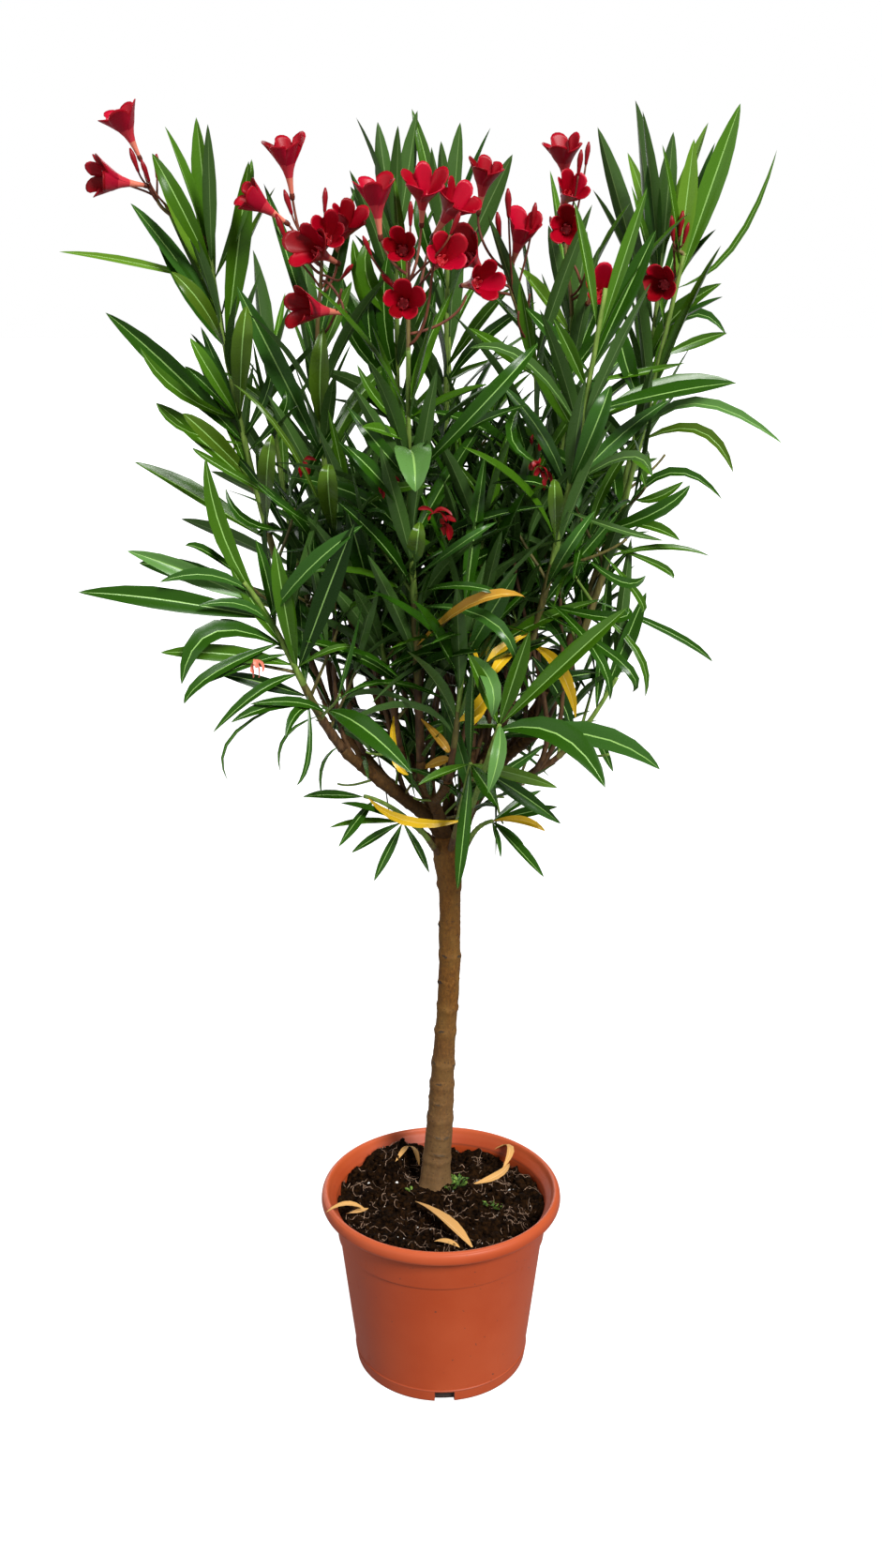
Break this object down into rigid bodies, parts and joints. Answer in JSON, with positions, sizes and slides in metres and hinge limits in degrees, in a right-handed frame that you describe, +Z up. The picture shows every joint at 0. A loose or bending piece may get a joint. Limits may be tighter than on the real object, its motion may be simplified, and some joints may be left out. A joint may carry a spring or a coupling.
{
  "type": "potted oleander",
  "caption": "Oleander grown as a standard in a round plastic pot: one bare trunk and a vase-shaped crown of long narrow leaves with red blooms.",
  "frame": {"origin": "centre of the pot's flat underside", "axes": "+Z up along the pot's axis, +X to the plant's right as pictured, +Y to its back"},
  "size_m": [0.79, 0.612, 1.6],
  "materials": {
    "pot": "satin terracotta-orange plastic",
    "soil": "moist dark potting compost",
    "bark": "dull brown bark",
    "foliage": "leathery dark green leaves, with crimson blooms"
  },
  "bodies": {
    "root": {"pot": "pot", "soil": "soil", "trunk": "bark", "bough_low_left": "bark", "bough_right": "bark", "bough_mid_left": "bark", "bough_back_centre": "bark", "bough_mid_right": "bark", "bough_front": "bark", "bough_back_right": "bark", "bough_back_left": "bark", "bough_left": "bark", "bough_side_left": "bark", "bough_front_right": "bark", "bough_flower_right": "bark", "bough_far_right": "bark", "bough_low_right": "bark", "bough_crown_left": "bark", "bough_back": "bark", "bough_low_back": "bark", "bough_inner_left": "bark", "bough_inner_right": "bark", "bough_inner_front": "bark", "foliage_tall_left": "foliage", "foliage_low_left": "foliage", "foliage_mid_left": "foliage", "foliage_front": "foliage", "foliage_crown_left": "foliage", "foliage_crown_middle": "foliage", "foliage_mid_right": "foliage", "foliage_front_right": "foliage", "foliage_flower_right": "foliage", "foliage_right": "foliage", "foliage_far_right": "foliage", "foliage_low_right": "foliage", "foliage_front_rosette": "foliage", "foliage_centre_rosette": "foliage", "foliage_left_tuft": "foliage", "foliage_left_fringe": "foliage", "foliage_right_tuft": "foliage", "foliage_inner_left": "foliage", "foliage_inner_right": "foliage", "foliage_inner_front": "foliage", "foliage_back_left": "foliage", "foliage_back": "foliage", "foliage_back_right": "foliage", "foliage_side_left": "foliage", "foliage_low_back": "foliage"}
  },
  "joints": []
}
